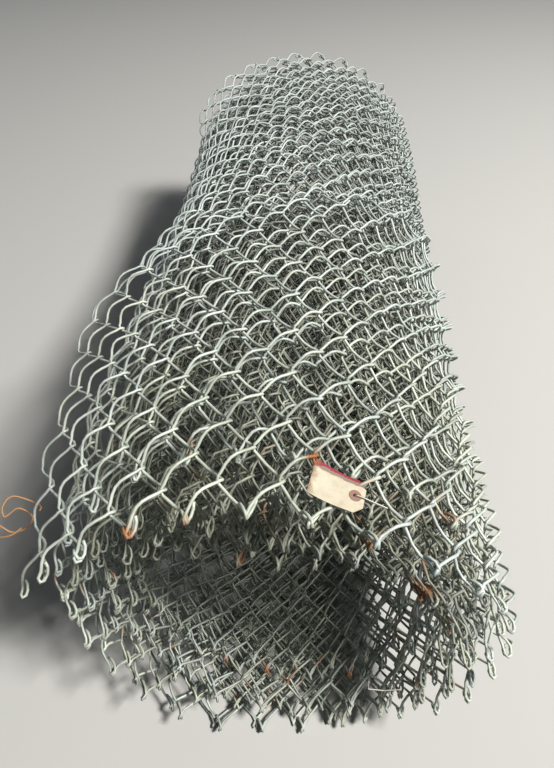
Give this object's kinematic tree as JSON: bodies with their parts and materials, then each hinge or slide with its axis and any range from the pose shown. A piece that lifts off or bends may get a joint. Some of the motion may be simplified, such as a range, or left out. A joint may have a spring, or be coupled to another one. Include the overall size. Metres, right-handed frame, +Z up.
{
  "type": "roll of chain link fencing",
  "caption": "Used, loosely wound roll of galvanised chain link fabric lying on its side, with an open core, a loose outer flap and a plain card tag tied on.",
  "frame": {"origin": "middle of the flat on which the roll rests", "axes": "+Y along the roll away from its front end, +X to the right seen from the front, +Z up"},
  "size_m": [0.6313, 1.554, 0.5384],
  "materials": {
    "galvanised_wire": "weathered zinc with some rust",
    "tag_card": "manila card",
    "patch_fibre": "brown fibre",
    "tie_wire": "dull steel wire",
    "rusty_wire": "rusted steel wire"
  },
  "bodies": {
    "root": {"mesh_roll": "galvanised_wire", "stock_tag": "tag_card", "eyelet_patch": "patch_fibre", "tag_tie": "tie_wire", "flap_tie": "rusty_wire", "core_tie": "rusty_wire"}
  },
  "joints": []
}
